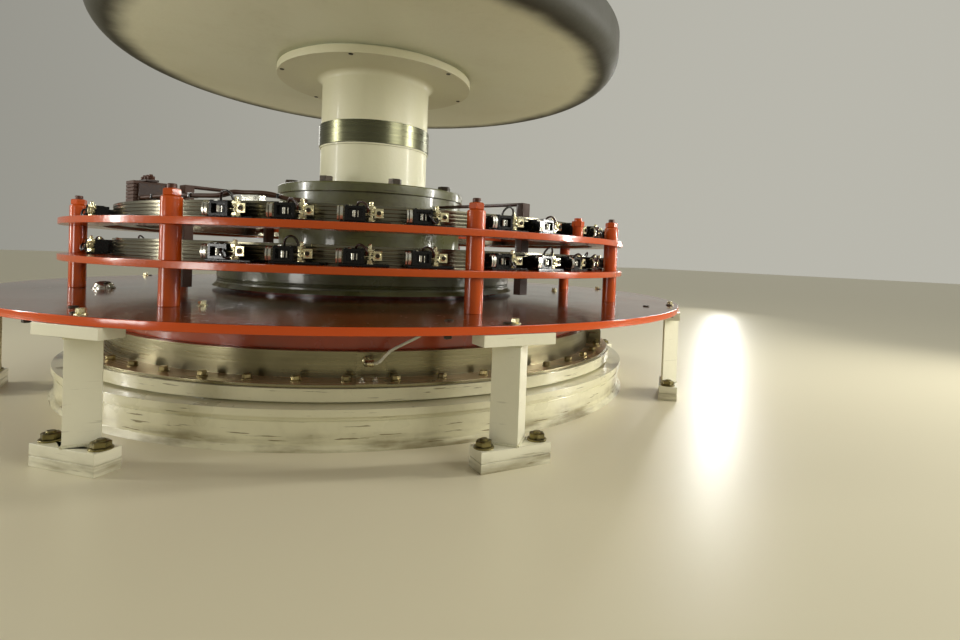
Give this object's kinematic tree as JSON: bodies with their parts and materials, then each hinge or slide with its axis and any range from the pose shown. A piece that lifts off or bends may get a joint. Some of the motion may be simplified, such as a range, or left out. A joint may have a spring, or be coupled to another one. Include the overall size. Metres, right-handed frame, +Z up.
{
  "type": "hydroelectric generator rotor shaft end with slip rings and brush gear",
  "caption": "Rotor end disc, shaft and hub carrying two slip rings inside fixed ring plates with brush holders, over a round red table on legs and a sealed bearing cover.",
  "frame": {"origin": "on the rotor's axis at the floor, under the middle of the base ring", "axes": "+Z up along the rotor's axis; a leg and a post stand towards -Y"},
  "size_m": [2.652, 2.652, 1.432],
  "materials": {
    "cream_paint": "satin cream paint, a little dusty",
    "white_paint": "satin white paint",
    "bare_steel": "turned bare steel",
    "hub_steel": "olive grey paint with an oil film",
    "dark_bolts": "black oxide",
    "shaft_red": "gloss red brown paint",
    "slip_ring_steel": "polished by the brushes",
    "dark_red_paint": "insulating red brown varnish",
    "lead_insulation": "varnished tape over copper",
    "orange_red_paint": "gloss orange red insulating varnish",
    "holder_black": "black moulding with brass and plated parts",
    "carbon": "pressed carbon",
    "table_red": "high gloss red brown varnish",
    "cream_floor_paint": "gloss cream paint, scuffed",
    "leg_white_paint": "gloss white paint, scuffed",
    "brushed_cover_steel": "turned steel with an oil film",
    "zinc_bolts": "yellow zinc plate",
    "bearing_bronze": "plain bearing metal",
    "clear_hose": "milky clear hose"
  },
  "bodies": {
    "stand": {"brush_plate_upper": "orange_red_paint", "brush_plate_lower": "orange_red_paint", "brush_holders_upper": "holder_black", "brush_holders_lower": "holder_black", "brushes_upper": "carbon", "brushes_lower": "carbon", "table": "table_red", "table_collar": "dark_red_paint", "base_ring": "cream_floor_paint", "seal_ring": "cream_floor_paint", "steel_cover": "brushed_cover_steel", "cover_joints": "brushed_cover_steel", "seal_bolts": "zinc_bolts", "guide_bearing": "bearing_bronze", "sensor_bracket": "brushed_cover_steel", "sensor_hose": "clear_hose", "terminal_post": "orange_red_paint", "post_1": "orange_red_paint", "post_2": "orange_red_paint", "post_3": "orange_red_paint", "post_4": "orange_red_paint", "post_5": "orange_red_paint", "post_6": "orange_red_paint", "post_7": "orange_red_paint", "post_8": "orange_red_paint", "leg_1": "leg_white_paint", "leg_2": "leg_white_paint", "leg_3": "leg_white_paint", "leg_4": "leg_white_paint", "leg_5": "leg_white_paint", "leg_6": "leg_white_paint", "leg_7": "leg_white_paint", "leg_8": "leg_white_paint"},
    "rotor": {"rotor_disc": "cream_paint", "shaft_flange": "white_paint", "shaft": "white_paint", "shaft_band": "bare_steel", "hub": "hub_steel", "hub_bolts": "dark_bolts", "ring_drum": "hub_steel", "barrel": "shaft_red", "slip_ring_upper": "slip_ring_steel", "slip_ring_lower": "slip_ring_steel", "ring_arms_upper": "dark_red_paint", "ring_arms_lower": "dark_red_paint", "lead_bars": "lead_insulation", "lead_stack": "lead_insulation", "lead_strap": "lead_insulation"}
  },
  "joints": [
    {"name": "rotor_spin", "type": "hinge", "parent": "stand", "child": "rotor", "pos_m": [0, 0, 0.5], "axis": [0, 0, 1], "continuous": true}
  ]
}
